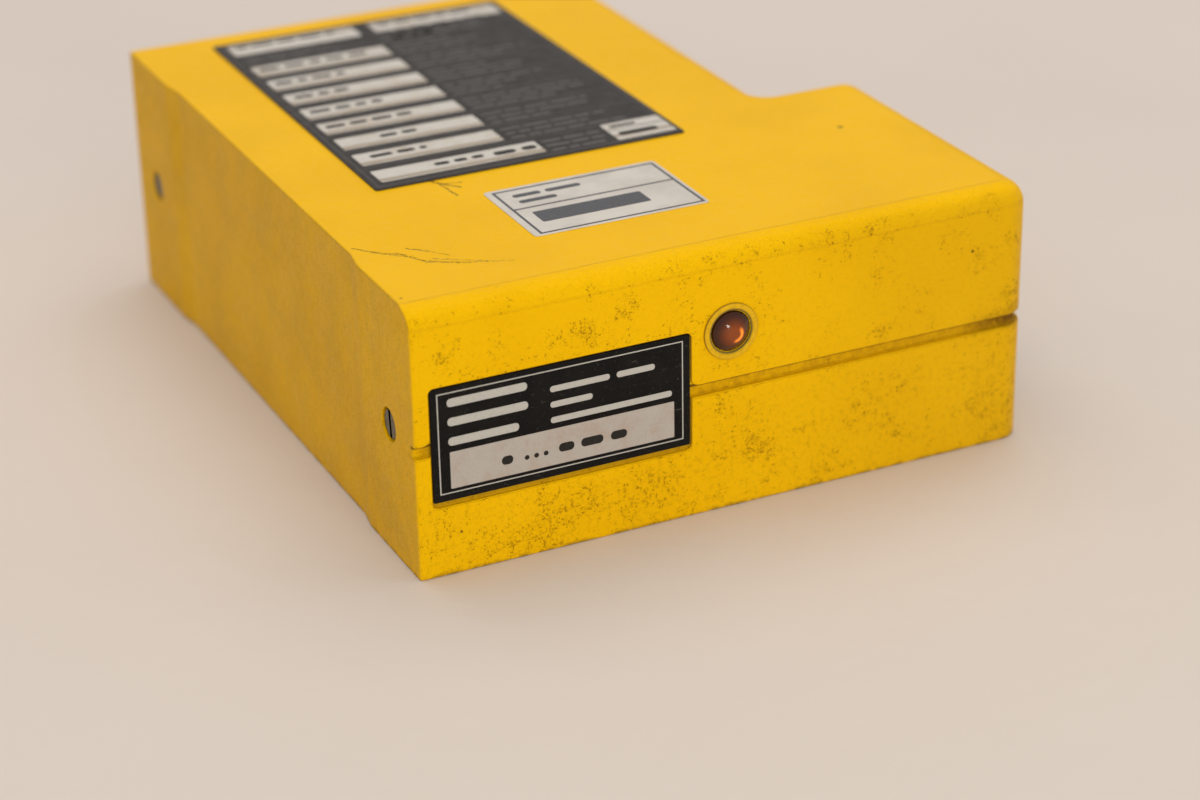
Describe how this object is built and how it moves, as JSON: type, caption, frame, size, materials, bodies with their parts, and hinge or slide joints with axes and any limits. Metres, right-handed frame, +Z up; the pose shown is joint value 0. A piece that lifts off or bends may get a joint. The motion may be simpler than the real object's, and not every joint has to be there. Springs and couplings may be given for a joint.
{
  "type": "industrial light barrier unit",
  "caption": "L-shaped cast metal sensor housing with a beam window, range and rating plates, indicator lamp and cable gland, lifting off a chassis with lens tube, transformer and terminals.",
  "frame": {"origin": "middle of the unit's width and depth on the flat underside of the chassis plate", "axes": "+Z up from the underside, -Y out of the head's front face with the range plate and lamp, +X out of the beam window, -X out of the padded flat side"},
  "size_m": [0.1516, 0.2019, 0.0624],
  "materials": {
    "cast_yellow": "yellow enamel over a die casting, fine orange peel",
    "black_plate": "printed black anodised plate",
    "silver_sticker": "silver film sticker",
    "amber_lens": "translucent amber dome",
    "clear_plastic": "aged clear washer",
    "black_rubber": "moulded black rubber",
    "dark_glass": "dark red infrared-pass glass",
    "lens_glass": "polished clear lens",
    "anodised": "black anodised aluminium",
    "grey_plastic": "grey polyamide",
    "black_plastic": "black moulded plastic",
    "cream_plastic": "cream moulded plastic",
    "dark_steel": "blackened steel screw",
    "zinc_steel": "zinc plated steel",
    "brass": "turned brass",
    "green_board": "green solder resist board",
    "laminations": "varnished steel laminations",
    "winding_tape": "yellow winding tape",
    "blue_sleeve": "blue plastic sleeve",
    "red_led": "red diffused lamp"
  },
  "bodies": {
    "base": {"base_plate": "zinc_steel", "base_gasket": "black_rubber", "side_tab_near": "zinc_steel", "side_tab_far": "zinc_steel", "lens_tube": "anodised", "beam_lens": "lens_glass", "lens_ring": "anodised", "tube_cradle_back": "black_plastic", "tube_cradle_front": "black_plastic", "emitter_board": "green_board", "emitter_can": "brass", "lamp_bracket": "zinc_steel", "lamp_board": "green_board", "indicator_led": "red_led", "power_board": "green_board", "standoff_1": "brass", "standoff_2": "brass", "standoff_3": "brass", "standoff_4": "brass", "transformer_core": "laminations", "transformer_winding": "winding_tape", "capacitor_large": "blue_sleeve", "capacitor_small": "blue_sleeve", "relay": "black_plastic", "terminal_block": "cream_plastic", "terminal_screw_1": "zinc_steel", "terminal_screw_2": "zinc_steel", "terminal_screw_3": "zinc_steel", "terminal_screw_4": "zinc_steel", "terminal_screw_5": "zinc_steel", "fuse_holder": "black_plastic", "trimmer_body": "blue_sleeve", "earth_screw": "brass"},
    "hood": {"housing": "cast_yellow", "rating_plate": "black_plate", "id_sticker": "silver_sticker", "range_plate": "black_plate", "lamp_lens": "amber_lens", "lamp_ring": "clear_plastic", "window_seal": "black_rubber", "window_glass": "dark_glass", "window_bezel": "anodised", "bezel_screw_1": "dark_steel", "bezel_screw_2": "dark_steel", "bezel_screw_3": "dark_steel", "bezel_screw_4": "dark_steel", "gland_body": "grey_plastic", "gland_locknut": "grey_plastic", "gland_seal": "black_rubber", "side_nut_near": "zinc_steel", "side_nut_far": "zinc_steel"},
    "side_screw_near": {"side_screw_near": "dark_steel"},
    "side_screw_far": {"side_screw_far": "dark_steel"},
    "gland_nut": {"gland_nut": "grey_plastic"},
    "fuse_cap": {"fuse_cap": "black_plastic"},
    "trimmer_dial": {"trimmer_dial": "cream_plastic"}
  },
  "joints": [
    {"name": "hood_lift", "type": "slide", "parent": "base", "child": "hood", "axis": [0, 0, 1], "range_m": [0, 0.09]},
    {"name": "side_screw_near_turn", "type": "hinge", "parent": "hood", "child": "side_screw_near", "pos_m": [-0.0723, -0.0765, 0.0308], "axis": [-1, 0, 0], "continuous": true},
    {"name": "side_screw_far_turn", "type": "hinge", "parent": "hood", "child": "side_screw_far", "pos_m": [-0.0723, 0.0765, 0.0308], "axis": [-1, 0, 0], "continuous": true},
    {"name": "gland_nut_turn", "type": "hinge", "parent": "hood", "child": "gland_nut", "pos_m": [-0.0133, 0.0995, 0.031], "axis": [0, 1, 0], "continuous": true},
    {"name": "fuse_cap_turn", "type": "hinge", "parent": "base", "child": "fuse_cap", "pos_m": [0.0317, 0.0455, 0.028], "axis": [0, 0, 1], "range_deg": [0, 90]},
    {"name": "trimmer_turn", "type": "hinge", "parent": "base", "child": "trimmer_dial", "pos_m": [-0.0463, 0.0435, 0.017], "axis": [0, 0, 1], "range_deg": [-135, 135]}
  ]
}
